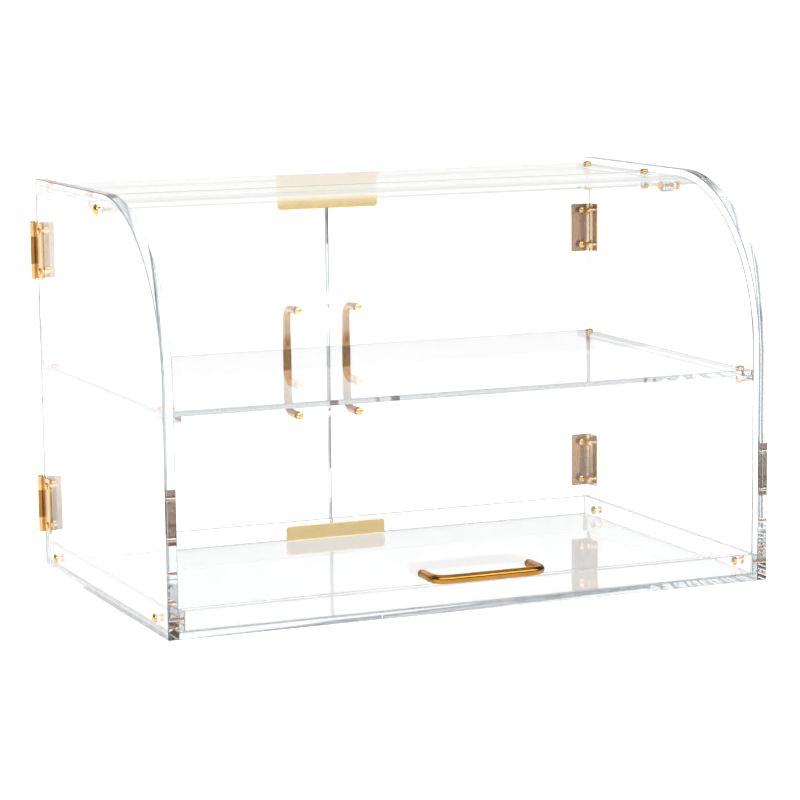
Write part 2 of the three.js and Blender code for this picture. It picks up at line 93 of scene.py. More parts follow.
class Wire:
    """One socket of a material, so that shader sums are written as plain sums."""

    def __init__(self, tree, socket=None):
        self.tree = tree
        self.socket = socket

    def node(self, kind, settings=None, inputs=None, output=0):
        """A new node, set and wired up, as the socket of one of its outputs."""
        made = self.tree.nodes.new(kind)
        for name, value in (settings or {}).items():
            setattr(made, name, value)
        for name, value in (inputs or {}).items():
            if isinstance(value, Wire):
                self.tree.links.new(value.socket, made.inputs[name])
            else:
                made.inputs[name].default_value = value
        return Wire(self.tree, made.outputs[output] if len(made.outputs) else None)

    def math(self, operation, first, second):
        return self.node("ShaderNodeMath", {"operation": operation}, {0: first, 1: second})

    def __add__(self, other):
        return self.math("ADD", self, other)

    def __radd__(self, other):
        return self.math("ADD", other, self)

    def __sub__(self, other):
        return self.math("SUBTRACT", self, other)

    def __rsub__(self, other):
        return self.math("SUBTRACT", other, self)

    def __mul__(self, other):
        return self.math("MULTIPLY", self, other)

    def __rmul__(self, other):
        return self.math("MULTIPLY", other, self)

    def between(self, low, high):
        """This value spread smoothly from 0 at low to 1 at high."""
        return self.node("ShaderNodeMapRange", {"interpolation_type": "SMOOTHSTEP"},
                         {"Value": self, "From Min": low, "From Max": high})


def cleared(owner):
    """The nodes of a material or of the room, with its own ones taken out."""
    owner.use_nodes = True
    owner.node_tree.nodes.clear()
    return Wire(owner.node_tree)


def grain(wire, where, scale, stretch=(1, 1, 1), detail=3):
    """Even noise on the piece's own coordinates, drawn out along one of them."""
    drawn = wire.node("ShaderNodeVectorMath", {"operation": "MULTIPLY"}, {0: where, 1: stretch})
    return wire.node("ShaderNodeTexNoise", {}, {"Vector": drawn, "Scale": scale, "Detail": detail})


def blended(wire, share, first, second):
    """A colour between two colours."""
    return wire.node("ShaderNodeMix", {"data_type": "RGBA"},
                     {"Factor": share, "A": (*first, 1), "B": (*second, 1)}, output="Result")


def raised(wire, pattern, distance):
    """The way the surface faces where a pattern lifts it."""
    return wire.node("ShaderNodeBump", {},
                     {"Height": pattern, "Distance": distance, "Strength": 1.0}, output="Normal")


def acrylic(name, clear, hazed, haze, wave_size, wave_height, smoothest, roughest):
    """Cast acrylic with slow waves in its surface and faint wiping marks."""
    wiping_scale = 40
    wiping_stretch = (1, 1, 5)
    body_colour = (0.74, 0.78, 0.81, 1)
    body_density = 1.1
    material = bpy.data.materials.new(name)
    wire = cleared(material)
    where = wire.node("ShaderNodeTexCoord", output="Object")
    wave = grain(wire, where, 1 / wave_size, detail=1)
    wiped = grain(wire, where, wiping_scale, stretch=wiping_stretch).between(0.45, 0.8)
    relief = raised(wire, wave, wave_height)
    surface = wire.node("ShaderNodeBsdfPrincipled", {}, {
        "Base Color": blended(wire, wiped * haze, clear, hazed),
        "Roughness": smoothest + wiped * (roughest - smoothest),
        "Normal": relief,
        "IOR": acrylic_index,
        "Transmission Weight": 1.0,
    })
    depth = wire.node("ShaderNodeVolumeAbsorption", {},
                      {"Color": body_colour, "Density": body_density})
    wire.node("ShaderNodeOutputMaterial", {}, {"Surface": surface, "Volume": depth})
    return material


sheet_face = acrylic(
    "clear_sheet_face", clear=(0.99, 0.994, 0.994), hazed=(0.975, 0.982, 0.985), haze=0.6,
    wave_size=90 * mm, wave_height=0.012 * mm, smoothest=0.0, roughest=0.008)
sheet_edge = acrylic(
    "polished_sheet_edge", clear=(0.88, 0.886, 0.895), hazed=(0.81, 0.82, 0.83), haze=0.8,
    wave_size=12 * mm, wave_height=0.003 * mm, smoothest=0.0, roughest=0.02)
panel_edge = acrylic(
    "thick_panel_edge", clear=(0.87, 0.88, 0.89), hazed=(0.8, 0.81, 0.82), haze=0.8,
    wave_size=12 * mm, wave_height=0.003 * mm, smoothest=0.0, roughest=0.02)
# The rim's dark tint is painted shade that draws dark outline lines along the sheets' rounded rims;
# only its slight roughness is a scraped finish.
rim_painted_dark = acrylic(
    "scraped_rim_painted_dark", clear=(0.5, 0.52, 0.54), hazed=(0.42, 0.44, 0.46), haze=0.8,
    wave_size=7 * mm, wave_height=0.01 * mm, smoothest=0.02, roughest=0.08)


def place(axis, along, across):
    """A point from its distance along one axis and its coordinates on the other two."""
    point = list(across)
    point.insert("xyz".index(axis), along)
    return point


def prism(outline, axis, start, end):
    """A closed form with one outline all along an axis."""
    form = bmesh.new()
    near = [form.verts.new(place(axis, start, point)) for point in outline]
    far = [form.verts.new(place(axis, end, point)) for point in outline]
    form.faces.new(near)
    form.faces.new(far)
    for index, corner in enumerate(near):
        following = (index + 1) % len(near)
        form.faces.new((corner, near[following], far[following], far[index]))
    bmesh.ops.recalc_face_normals(form, faces=form.faces)
    return form


def rectangle(low, high):
    """The corners of a rectangle, in order round it."""
    return [low, (high[0], low[1]), high, (low[0], high[1])]


def arc(centre, radius, first, last, steps):
    """Points on part of a circle, its ends given in degrees."""
    turns = [math.radians(first + (last - first) * step / steps) for step in range(steps + 1)]
    return [
        (centre[0] + radius * math.cos(turn), centre[1] + radius * math.sin(turn))
        for turn in turns
    ]


def rod(axis, radius, start, end, centre, steps=hole_sides):
    """A round bar along an axis."""
    return prism(arc(centre, radius, 0, 360, steps)[:-1], axis, start, end)


def drills(axis, radius, start, end, spots, steps=hole_sides):
    """Round bars that reach past both faces of a sheet, to cut its holes with."""
    return [rod(axis, radius, start - overrun, end + overrun, spot, steps) for spot in spots]


def loose(name, forms):
    """An object that holds the given forms side by side."""
    whole = bmesh.new()
    for form in forms:
        part = bpy.data.meshes.new(name)
        form.to_mesh(part)
        form.free()
        whole.from_mesh(part)
        bpy.data.meshes.remove(part)
    mesh = bpy.data.meshes.new(name)
    whole.to_mesh(mesh)
    whole.free()
    piece = bpy.data.objects.new(name, mesh)
    bpy.context.scene.collection.objects.link(piece)
    return piece


def settle(piece):
    """Keeps what the modifiers make as the piece's own mesh."""
    bpy.context.view_layer.update()
    settled = piece.evaluated_get(bpy.context.evaluated_depsgraph_get())
    made = bpy.data.meshes.new_from_object(settled)
    piece.modifiers.clear()
    piece.data = made


def worked(piece, operation, forms):
    """Cuts forms out of a piece, or joins them to it."""
    for form in forms:
        tool = loose("tool", [form])
        change = piece.modifiers.new("work", "BOOLEAN")
        change.operation = operation
        change.solver = "EXACT"
        change.object = tool
        settle(piece)
        bpy.data.objects.remove(tool)


def soften(piece, width, steps=1, smooth_to=35, clamped=True):
    """Takes the sharp corners off a piece and shades its round parts smooth."""
    sharp_corner = 40
    if width:
        rim = piece.modifiers.new("rim", "BEVEL")
        rim.use_clamp_overlap = clamped
        rim.width = width
        rim.segments = steps
        rim.limit_method = "ANGLE"
        rim.angle_limit = math.radians(sharp_corner)
        settle(piece)
    piece.data.shade_smooth()
    piece.data.set_sharp_from_angle(angle=math.radians(smooth_to))
    normals = piece.modifiers.new("normals", "WEIGHTED_NORMAL")
    normals.keep_sharp = True
    settle(piece)


def stand_in(piece, node):
    """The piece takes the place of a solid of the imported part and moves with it."""
    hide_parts(node)
    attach(piece, frame["nodes"][node]["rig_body"])


def cut_sheet(node, outline, axis, start, end, holes=(), bent=False,
              rim=polished_rim, steps=2, edge=sheet_edge):
    """A piece of sheet: its outline cut, its holes drilled, its edges polished and its rounded rims
    tinted dark, a painted shade for their outline lines.

    The outline is that of the sheet's face, or of its edge where the sheet is bent.
    """
    piece = loose(f"{node}_sheet", [prism(outline, axis, start, end)])
    soften(piece, rim, steps=steps, smooth_to=40, clamped=False)
    worked(piece, "DIFFERENCE", holes)
    soften(piece, 0, smooth_to=40)
    for material in (sheet_face, edge, rim_painted_dark):
        piece.data.materials.append(material)
    # The rounded rims between faces and edges take the rim material, tinted dark as painted outline
    # shade.
    upright, flat = 0.1, 0.97
    direction = "xyz".index(axis)
    for face in piece.data.polygons:
        facing = abs(face.normal[direction])
        on_rim = upright < facing < flat
        on_edge = (facing > 0.5) == bent
        face.material_index = 2 if on_rim else int(on_edge)
    stand_in(piece, node)


for side in sides:
    low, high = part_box(f"{side}_side_panel")
    stop = high.y - door_notch_depth
    notch = high.z - door_notch_height
    round_centre = (low.y + shoulder_radius, high.z - shoulder_radius)
    outline = [
        (low.y, low.z), (stop, low.z), (stop, notch), (high.y, notch), (high.y, high.z),
        (round_centre[0] + shoulder_lead, high.z),
        *arc(round_centre, shoulder_radius, 90, 180, shoulder_steps),
        (low.y, round_centre[1] - shoulder_lead),
    ]
    tray_screws = (low.y + tray_screw_end_inset, high.y - tray_screw_end_inset)
    tray_spots = [(y, tray_screw_height) for y in tray_screws]
    leaf_spots = [
        (stop - frame_leaf_screw_inset, height + rise)
        for height in hinge_heights.values() for rise in leaf_screw_rises.values()
    ]
    holes = drills("x", screw_hole, low.x, high.x, tray_spots)
    holes += drills("x", pivot_hole, low.x, high.x, [pivot_place])
    holes += drills("x", leaf_screw_hole, low.x, high.x, leaf_spots, small_hole_sides)
    cut_sheet(f"{side}_side_panel", outline, "x", low.x, high.x, holes,
              rim=panel_rim, steps=4, edge=panel_edge)

# Top panel and shelf
# Two thinner acrylic sheets between the side panels, drilled near their corners for the screws
# that hold them to the cleats below.

sheet_screws = {
    "top": {"front": 32.75 * mm, "rear": 150.25 * mm},
    "shelf": {"front": -148.25 * mm, "rear": 148.75 * mm},
}
cleat_centre = {}
for side in sides:
    low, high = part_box(f"{side}_top_cleat")
    cleat_centre[side] = (low.x + high.x) / 2


def flat_sheet(node, axis, spots=()):
    """A rectangular sheet that fills its node's box, drilled for screws at the given spots."""
    low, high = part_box(node)
    along = "xyz".index(axis)
    first, second = (other for other in range(3) if other != along)
    outline = rectangle((low[first], low[second]), (high[first], high[second]))
    holes = drills(axis, screw_hole, low[along], high[along], spots)
    cut_sheet(node, outline, axis, low[along], high[along], holes)


for node, level in (("top_panel", "top"), ("middle_shelf", "shelf")):
    flat_sheet(node, "z", [
        (x, y) for x in cleat_centre.values() for y in sheet_screws[level].values()
    ])

# Cleats
# Narrow acrylic strips glued along the side panels' inner faces, under the top panel and the shelf.
# They are drilled for the same screws as the sheets that lie on them.

for side in sides:
    for level, ends in sheet_screws.items():
        flat_sheet(f"{side}_{level}_cleat", "z", [(cleat_centre[side], y) for y in ends.values()])

# Tray
# A thicker acrylic floor with four low acrylic walls glued on it. Screws through the side panels
# hold its side walls.

flat_sheet("tray_floor", "z")
for side in sides:
    flat_sheet(f"tray_{side}_wall", "x", tray_spots)
flat_sheet("tray_front_wall", "y")
flat_sheet("tray_rear_wall", "y")

# Rear doors
# Two flat acrylic sheets that meet at a narrow seam, hung on butt hinges at their outer edges and
# drilled for their pulls' screws.

pull_spacing = 100 * mm
pull_feet = (-pull_spacing / 2, pull_spacing / 2)
pull_screw_hole = 1.9 * mm
rear_pull_x = 30.25 * mm
rear_pull_height = 173 * mm
door_leaf_screw_inset = 14.7 * mm

for side, sign in sides.items():
    node = f"{side}_rear_door"
    low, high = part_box(node)
    outer = high.x if sign > 0 else low.x
    pull_spots = [(sign * rear_pull_x, rear_pull_height + foot) for foot in pull_feet]
    leaf_spots = [
        (outer - sign * door_leaf_screw_inset, height + rise)
        for height in hinge_heights.values() for rise in leaf_screw_rises.values()
    ]
    holes = drills("y", pull_screw_hole, low.y, high.y, pull_spots)
    holes += drills("y", leaf_screw_hole, low.y, high.y, leaf_spots, small_hole_sides)
    cut_sheet(node, rectangle((low.x, low.z), (high.x, high.z)), "y", low.y, high.y, holes)

# Front flap
# One acrylic sheet, bent hot to follow the side panels' shoulder, with a flat part that runs back
# past its pivots. The two pivot blocks are glued under it and turn on the pivot screws.

front_pull_height = 34 * mm
flap_thickness = 4.75 * mm
flap_radius = shoulder_radius - 5.5 * mm
flap_rim = 0.6 * mm
block_chamfer = 2.5 * mm
block_rim = 0.25 * mm

low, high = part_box("front_flap")
bend_centre = (low.y + flap_radius, high.z - flap_radius)
bend = arc(bend_centre, flap_radius, 180, 90, shoulder_steps)
inner_bend = arc(bend_centre, flap_radius - flap_thickness, 90, 180, shoulder_steps)
outline = [
    (low.y, low.z), (low.y, bend_centre[1] - shoulder_lead),
    *bend,
    (bend_centre[0] + shoulder_lead, high.z), (high.y, high.z),
    (high.y, high.z - flap_thickness),
    (bend_centre[0] + shoulder_lead, high.z - flap_thickness),
    *inner_bend,
    (low.y + flap_thickness, bend_centre[1] - shoulder_lead), (low.y + flap_thickness, low.z),
]
holes = drills("y", pull_screw_hole, low.y, low.y + flap_thickness,
               [(foot, front_pull_height) for foot in pull_feet])
cut_sheet("front_flap", outline, "x", low.x, high.x, holes, bent=True, rim=flap_rim, steps=3)

for side in sides:
    node = f"{side}_pivot_block"
    low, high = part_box(node)
    outline = [
        (low.y, high.z), (low.y, low.z + block_chamfer), (low.y + block_chamfer, low.z),
        (high.y - block_chamfer, low.z), (high.y, low.z + block_chamfer), (high.y, high.z),
    ]
    hole = drills("x", pivot_hole, low.x, high.x, [pivot_place])
    cut_sheet(node, outline, "x", low.x, high.x, hole, rim=block_rim)

# Screws and cap nuts
# Turned brass: domed heads with a cross recess, threaded shanks and hexagonal cap nuts. They go
# through the sheets from outside or above, and the nuts sit inside the case.

head_radius = 4 * mm
head_height = 2.5 * mm
shank_radius = 1.6 * mm
thread_pitch = 0.7 * mm
nut_radius = 4 * mm
nut_height = 3.6 * mm
turned_sides = 48
screw_rim = 0.15 * mm
glue_line = 0.1 * mm
sheet_screw_length = 9.8 * mm
tray_screw_length = 14.55 * mm
pivot_screw_length = 20.6 * mm
pivot_shank_radius = 2.6 * mm
pivot_head = (5.2 * mm, 3 * mm)
pivot_nut_radius = 4.3 * mm


def brass(name, bright, worn, streaks, smoothest, roughest, scratch=None, pitch=None):
    """Brass with a drawn grain, darker worn patches and, on a thread, its turns."""
    grain_scale = 700
    patch_scale = 45
    patch_share = 0.55
    grain_share = 0.35
    thread_height = 0.2 * mm
    one_turn = 0.3142
    material = bpy.data.materials.new(name)
    wire = cleared(material)
    where = wire.node("ShaderNodeTexCoord", output="Object")
    drawn = grain(wire, where, grain_scale, stretch=streaks, detail=4)
    patches = grain(wire, where, patch_scale, detail=2).between(0.35, 0.75)
    if pitch:
        thread = wire.node("ShaderNodeTexWave", {"bands_direction": "Z"},
                           {"Vector": where, "Scale": one_turn / pitch}, output="Fac")
        relief = raised(wire, thread, thread_height)
    else:
        relief = raised(wire, drawn, scratch)
    surface = wire.node("ShaderNodeBsdfPrincipled", {}, {
        "Base Color": blended(wire, patches * patch_share + drawn * grain_share, bright, worn),
        "Metallic": 1.0,
        "Roughness": smoothest + drawn.between(0.3, 0.8) * (roughest - smoothest),
        "Normal": relief,
    })
    wire.node("ShaderNodeOutputMaterial", {}, {"Surface": surface})
    return material


polished_brass = brass(
    "polished_brass", bright=(0.86, 0.57, 0.2), worn=(0.66, 0.39, 0.12), streaks=(1, 1, 1),
    smoothest=0.1, roughest=0.22, scratch=0.0015 * mm)
threaded_brass = brass(
    "threaded_brass", bright=(0.8, 0.55, 0.22), worn=(0.6, 0.36, 0.12), streaks=(1, 1, 1),
    smoothest=0.2, roughest=0.35, pitch=thread_pitch)


def turned(profile, steps=turned_sides):
    """A form turned round z from points of radius and height, its two ends on the axis."""
    form = bmesh.new()
    rings = []
    for radius, height in profile:
        spots = arc((0, 0), radius, 0, 360, steps)[:-1] if radius else [(0, 0)]
        rings.append([form.verts.new((x, y, height)) for x, y in spots])
    for ring, above in zip(rings, rings[1:]):
        for step in range(steps):
            corners = []
            for circle, spot in ((ring, step), (ring, step + 1), (above, step + 1), (above, step)):
                corner = circle[spot % len(circle)]
                if corner not in corners:
                    corners.append(corner)
            form.faces.new(corners)
    bmesh.ops.recalc_face_normals(form, faces=form.faces)
    return form


def dome(radius, height, rim, steps=10):
    """Points of a dome from its rim to its crown."""
    foot_share = 0.97
    points = [(radius * foot_share, 0), (radius, rim * 0.5), (radius, rim)]
    for step in range(1, steps + 1):
        turn = math.pi / 2 * step / steps
        reach = radius * math.cos(turn) if step < steps else 0
        points.append((reach, rim + (height - rim) * math.sin(turn)))
    return points


def cross_recess(radius, height):
    """The two tapered slots that a driver turns, cut down from a head's crown."""
    width_share, reach_share, depth_share = 0.2, 0.48, 0.5
    foot_share, mouth_reach, mouth_width = 0.35, 1.5, 0.6
    width = radius * width_share
    reach = radius * reach_share
    foot = (height - height * depth_share, reach * foot_share, width * foot_share)
    mouth = (height + overrun, reach * mouth_reach, width * mouth_width)
    slots = []
    for turn in (0, 90):
        slot = bmesh.new()
        for level, half, across in (foot, mouth):
            for x, y in rectangle((-half, -across), (half, across)):
                slot.verts.new((x, y, level))
        corners = list(slot.verts)
        around = ((0, 1, 5, 4), (1, 2, 6, 5), (2, 3, 7, 6), (3, 0, 4, 7))
        for face in ((0, 1, 2, 3), (4, 5, 6, 7), *around):
            slot.faces.new([corners[corner] for corner in face])
        bmesh.ops.recalc_face_normals(slot, faces=slot.faces)
        bmesh.ops.rotate(slot, verts=slot.verts,
                         matrix=Matrix.Rotation(math.radians(turn), 3, "Z"))
        slots.append(slot)
    return slots


def cap_nut(radius, height, seat):
    """A hexagon below its seat and the dome that closes it."""
    flat_share, sunk_share, neck_share, crown_share = 0.61, 0.9, 0.8, 0.84
    crown_rim = 0.2 * mm
    flat = height * flat_share
    hexagon = prism(arc((0, 0), radius, 0, 360, 6)[:-1], "z", seat - flat, seat)
    sunk = flat * sunk_share
    crown = [
        (reach, seat - sunk - rise)
        for reach, rise in dome(radius * crown_share, height - sunk, crown_rim)
    ]
    middle = seat - flat * 0.5
    return [hexagon, turned([(0, middle), (radius * neck_share, middle), *crown])]


def screw(name, length, head=(head_radius, head_height), shank=shank_radius, cap=None):
    """A screw along z, its head seated at 0 and any cap nut at the far end."""
    tip_share, tip_rise, rim_share = 0.8, 0.3, 0.25
    tip = [(0, -length), (shank * tip_share, -length), (shank, -length + shank * tip_rise)]
    radius, height = head
    piece = loose(name, [turned([*tip, (shank, 0), *dome(radius, height, height * rim_share)])])
    worked(piece, "DIFFERENCE", cross_recess(radius, height))
    if cap:
        worked(piece, "UNION", cap_nut(*cap, -length))
    soften(piece, screw_rim)
    piece.data.materials.append(polished_brass)
    piece.data.materials.append(threaded_brass)
    thread_start = -0.2 * mm
    for face in piece.data.polygons:
        centre = face.center
        near_axis = math.hypot(centre.x, centre.y) < shank * 1.05
        on_shank = near_axis and -length < centre.z < thread_start
        face.material_index = int(on_shank and abs(face.normal.z) < 0.5)
    return piece


def drive(pattern, name, node, towards, seat):
    """One more screw of a pattern, its head facing one way and seated at a point."""
    piece = bpy.data.objects.new(name, pattern.data)
    bpy.context.scene.collection.objects.link(piece)
    turn = Vector((0, 0, 1)).rotation_difference(Vector(towards)).to_matrix().to_4x4()
    piece.matrix_world = Matrix.Translation(seat) @ turn
    stand_in(piece, node)


sheet_screw = screw("sheet_screw_pattern", sheet_screw_length, cap=(nut_radius, nut_height))
for side in sides:
    for level, ends in sheet_screws.items():
        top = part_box("top_panel" if level == "top" else "middle_shelf")[1].z
        for end, y in ends.items():
            node = f"{side}_{end}_{level}_screw"
            seat = (cleat_centre[side], y, top + glue_line)
            drive(sheet_screw, f"{node}_brass", node, (0, 0, 1), seat)
bpy.data.objects.remove(sheet_screw)

panel_seat = {}
for side, sign in sides.items():
    low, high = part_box(f"{side}_side_panel")
    panel_seat[side] = (high.x if sign > 0 else low.x) + sign * glue_line

tray_screw = screw("tray_screw_pattern", tray_screw_length, cap=(nut_radius, nut_height))
for side, sign in sides.items():
    for end, spot in zip(("front", "rear"), tray_spots):
        node = f"{side}_{end}_tray_screw"
        drive(tray_screw, f"{node}_brass", node, (sign, 0, 0), (panel_seat[side], *spot))
bpy.data.objects.remove(tray_screw)

pivot_screw = screw("pivot_screw_pattern", pivot_screw_length, head=pivot_head,
                    shank=pivot_shank_radius, cap=(pivot_nut_radius, nut_height))
for side, sign in sides.items():
    node = f"{side}_pivot_screw"
    drive(pivot_screw, f"{node}_brass", node, (sign, 0, 0), (panel_seat[side], *pivot_place))
bpy.data.objects.remove(pivot_screw)

# Pulls
# Round brass bar, drawn, bent to a D and polished. A domed screw from inside the case holds each of
# its feet.

pull_radius = 4 * mm
pull_bend = 14 * mm
front_pull_reach = 33 * mm
rear_pull_reach = 32 * mm
pull_rim = 0.3 * mm
pull_bore_depth = 9 * mm
pull_screw_length = 9.45 * mm
pull_screw_head = (3.6 * mm, 2.2 * mm)
pull_brass = brass(
    "pull_brass", bright=(0.43, 0.2, 0.035), worn=(0.3, 0.13, 0.018), streaks=(6, 6, 0.25),
    smoothest=0.05, roughest=0.12, scratch=0.002 * mm)


def bent_bar(reach, steps=20, bar_sides=40):
    """A round bar with its feet on z and its grip out along -y."""
    half = pull_spacing / 2
    out = -(reach - pull_radius)
    corners = [
        ((out + pull_bend, -half), (out, -half), (out, -half + pull_bend)),
        ((out, half - pull_bend), (out, half), (out + pull_bend, half)),
    ]
    line = [(0, -half)]
    for first, corner, last in corners:
        for step in range(steps + 1):
            share = step / steps
            line.append(tuple(
                (1 - share) ** 2 * a + 2 * share * (1 - share) * b + share ** 2 * c
                for a, b, c in zip(first, corner, last)))
    line.append((0, half))
    sideways = Vector((1, 0, 0))
    turns = [2 * math.pi * step / bar_sides for step in range(bar_sides)]
    form = bmesh.new()
    rings = []
    for index, (y, z) in enumerate(line):
        before = line[max(index - 1, 0)]
        after = line[min(index + 1, len(line) - 1)]
        way = Vector((0, after[0] - before[0], after[1] - before[1])).normalized()
        across = way.cross(sideways)
        rings.append([
            form.verts.new(Vector((0, y, z)) + pull_radius * (
                sideways * math.cos(turn) + across * math.sin(turn)))
            for turn in turns
        ])
    for ring, following in zip(rings, rings[1:]):
        for step in range(bar_sides):
            after = (step + 1) % bar_sides
            form.faces.new((ring[step], ring[after], following[after], following[step]))
    form.faces.new(rings[0])
    form.faces.new(rings[-1])
    bmesh.ops.recalc_face_normals(form, faces=form.faces)
    return form


flap_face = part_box("front_flap")[0].y
door_inner_face, door_outer_face = (corner.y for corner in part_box("left_rear_door"))
across_flap = Matrix.Rotation(math.radians(90), 4, "Y")
behind_doors = Matrix.Rotation(math.radians(180), 4, "Z")
door_seat = door_outer_face + glue_line
pulls = {
    "front": (front_pull_reach, (0, flap_face - glue_line, front_pull_height), across_flap),
    "left_rear": (rear_pull_reach, (-rear_pull_x, door_seat, rear_pull_height), behind_doors),
    "right_rear": (rear_pull_reach, (rear_pull_x, door_seat, rear_pull_height), behind_doors),
}
for name, (reach, seat, turn) in pulls.items():
    node = f"{name}_pull"
    piece = loose(f"{node}_bar", [bent_bar(reach)])
    worked(piece, "DIFFERENCE", [
        rod("y", pull_screw_hole, -pull_bore_depth, overrun, (0, foot), small_hole_sides)
        for foot in pull_feet
    ])
    soften(piece, pull_rim, steps=2)
    piece.data.materials.append(pull_brass)
    piece.matrix_world = Matrix.Translation(seat) @ turn
    stand_in(piece, node)

pull_screw = screw("pull_screw_pattern", pull_screw_length, head=pull_screw_head)
for side, sign in sides.items():
    for end, foot in zip(("lower", "upper"), pull_feet):
        node = f"{side}_rear_pull_{end}_screw"
        seat = (sign * rear_pull_x, door_inner_face - glue_line, rear_pull_height + foot)
        drive(pull_screw, f"{node}_brass", node, (0, -1, 0), seat)
    node = f"front_pull_{side}_screw"
    seat = (sign * pull_spacing / 2, flap_face + flap_thickness + glue_line, front_pull_height)
    drive(pull_screw, f"{node}_brass", node, (0, 1, 0), seat)
bpy.data.objects.remove(pull_screw)

# Butt hinges
# Brass leaves rolled round a capped pin: one leaf on the side panel's outer face, one on the door's
# rear face. Two small domed screws with cap nuts inside the case hold each leaf.

leaf_thickness = 1.2 * mm
leaf_seat = 2.15 * mm
leaf_face = leaf_seat - leaf_thickness
leaf_height = 50.5 * mm
leaf_corner = 1.2 * mm
leaf_rim = 0.18 * mm
frame_leaf_width = 22.5 * mm
door_leaf_width = 25.75 * mm
knuckle_radius = 2.6 * mm
knuckle_bore = 1.26 * mm
knuckle_gap = 0.25 * mm
knuckle_share = 0.48
pin_radius = 1.2 * mm
pin_cap_radius = knuckle_radius - knuckle_gap
pin_cap_height = 1.2 * mm
pin_sides = 32
corner_steps = 6
hinge_offset = 2.25 * mm
panel_thickness = 9.5 * mm
door_thickness = 4.75 * mm
leaf_screw_head = (3 * mm, 1.5 * mm)
leaf_screw_shank = 1.2 * mm
leaf_nut = (3.4 * mm, 2.6 * mm)
# The door leaves' brass is a darker copy of the frame leaves' brass: the difference is painted shade
# on the leaves seen through the door sheets.
satin_brass = brass(
    "satin_brass", bright=(0.36, 0.18, 0.045), worn=(0.27, 0.13, 0.03), streaks=(5, 5, 0.15),
    smoothest=0.18, roughest=0.32, scratch=0.004 * mm)
leaf_brass = brass(
    "leaf_brass", bright=(0.68, 0.46, 0.22), worn=(0.52, 0.33, 0.14), streaks=(5, 5, 0.15),
    smoothest=0.16, roughest=0.3, scratch=0.003 * mm)

half_leaf = leaf_height / 2
half_middle = leaf_height * knuckle_share / 2
outer_knuckles = [
    (-half_leaf, -half_middle - knuckle_gap),
    (half_middle + knuckle_gap, half_leaf),
]
middle_knuckle = [(-half_middle, half_middle)]


def leaf_plate(width, axis, sign):
    """A leaf's flat, from the pin's line outwards, with its two far corners rounded."""
    corner_reach = leaf_corner - width
    corner_rise = half_leaf - leaf_corner
    outline = [
        (0, -half_leaf), (0, half_leaf),
        *arc((corner_reach, corner_rise), leaf_corner, 90, 180, corner_steps),
        *arc((corner_reach, -corner_rise), leaf_corner, 180, 270, corner_steps),
    ]
    if axis == "x":
        return prism(outline, "x", *sorted((-sign * leaf_face, -sign * leaf_seat)))
    return prism([(sign * x, z) for x, z in outline], "y", -leaf_seat, -leaf_face)


def room(ends):
    """The space that one leaf leaves round a knuckle of the other."""
    clear = knuckle_radius + knuckle_gap
    square = rectangle((-clear, -clear), (clear, clear))
    return prism(square, "z", ends[0] - knuckle_gap, ends[1] + knuckle_gap)


def rolled_leaf(node, plate, rolls, gaps, centre, material):
    """A leaf in its place: its flat cut free of the other's knuckles and rolled into its own."""
    piece = loose(f"{node}_rolled", [plate])
    worked(piece, "DIFFERENCE", [room(ends) for ends in gaps])
    worked(piece, "UNION", [rod("z", knuckle_radius, *ends, (0, 0)) for ends in rolls])
    bore = rod("z", knuckle_bore, -leaf_height, leaf_height, (0, 0), pin_sides)
    worked(piece, "DIFFERENCE", [bore])
    soften(piece, leaf_rim, steps=2)
    piece.data.materials.append(material)
    piece.matrix_world = Matrix.Translation(centre)
    stand_in(piece, node)


def hinge_pin(node, centre):
    """A pin in its place, with a flat domed cap at either end."""
    seat = half_leaf + glue_line
    cap = dome(pin_cap_radius, pin_cap_height, pin_cap_height * 0.25, steps=6)
    crown = [(radius, seat + rise) for radius, rise in cap]
    foot = [(radius, -rise) for radius, rise in reversed(crown)]
    profile = [*foot, (pin_radius, -seat), (pin_radius, seat), *crown]
    piece = loose(f"{node}_turned", [turned(profile, pin_sides)])
    soften(piece, 0, smooth_to=50)
    piece.data.materials.append(polished_brass)
    piece.matrix_world = Matrix.Translation(centre)
    stand_in(piece, node)


frame_leaf_screw = screw(
    "frame_leaf_screw_pattern", leaf_thickness + glue_line + panel_thickness + glue_line,
    head=leaf_screw_head, shank=leaf_screw_shank, cap=leaf_nut)
door_leaf_screw = screw(
    "door_leaf_screw_pattern", leaf_thickness + glue_line + door_thickness + glue_line,
    head=leaf_screw_head, shank=leaf_screw_shank, cap=leaf_nut)
panel_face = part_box("right_side_panel")[1].x
for side, sign in sides.items():
    axis_x = sign * (panel_face + hinge_offset)
    axis_y = door_outer_face + hinge_offset
    for level, height in hinge_heights.items():
        centre = Vector((axis_x, axis_y, height))
        node = f"{side}_{level}_hinge_frame_leaf"
        rolled_leaf(node, leaf_plate(frame_leaf_width, "x", sign), outer_knuckles,
                    middle_knuckle, centre, leaf_brass)
        for end, rise in leaf_screw_rises.items():
            seat = (axis_x - sign * leaf_face, stop - frame_leaf_screw_inset, height + rise)
            drive(frame_leaf_screw, f"{node}_{end}_screw", node, (sign, 0, 0), seat)
        node = f"{side}_{level}_hinge_door_leaf"
        rolled_leaf(node, leaf_plate(door_leaf_width, "y", sign), middle_knuckle,
                    outer_knuckles, centre, satin_brass)
        for end, rise in leaf_screw_rises.items():
            screw_x = sign * (panel_face - door_leaf_screw_inset)
            seat = (screw_x, axis_y - leaf_face, height + rise)
            drive(door_leaf_screw, f"{node}_{end}_screw", node, (0, 1, 0), seat)
        hinge_pin(f"{side}_{level}_hinge_pin", centre)
bpy.data.objects.remove(frame_leaf_screw)
bpy.data.objects.remove(door_leaf_screw)

# Catch plates
# Two satin brass strips that the doors close against at their seam. The upper one is bent and hangs
# from the top panel, the lower one lies flat on the front of the tray's rear wall.

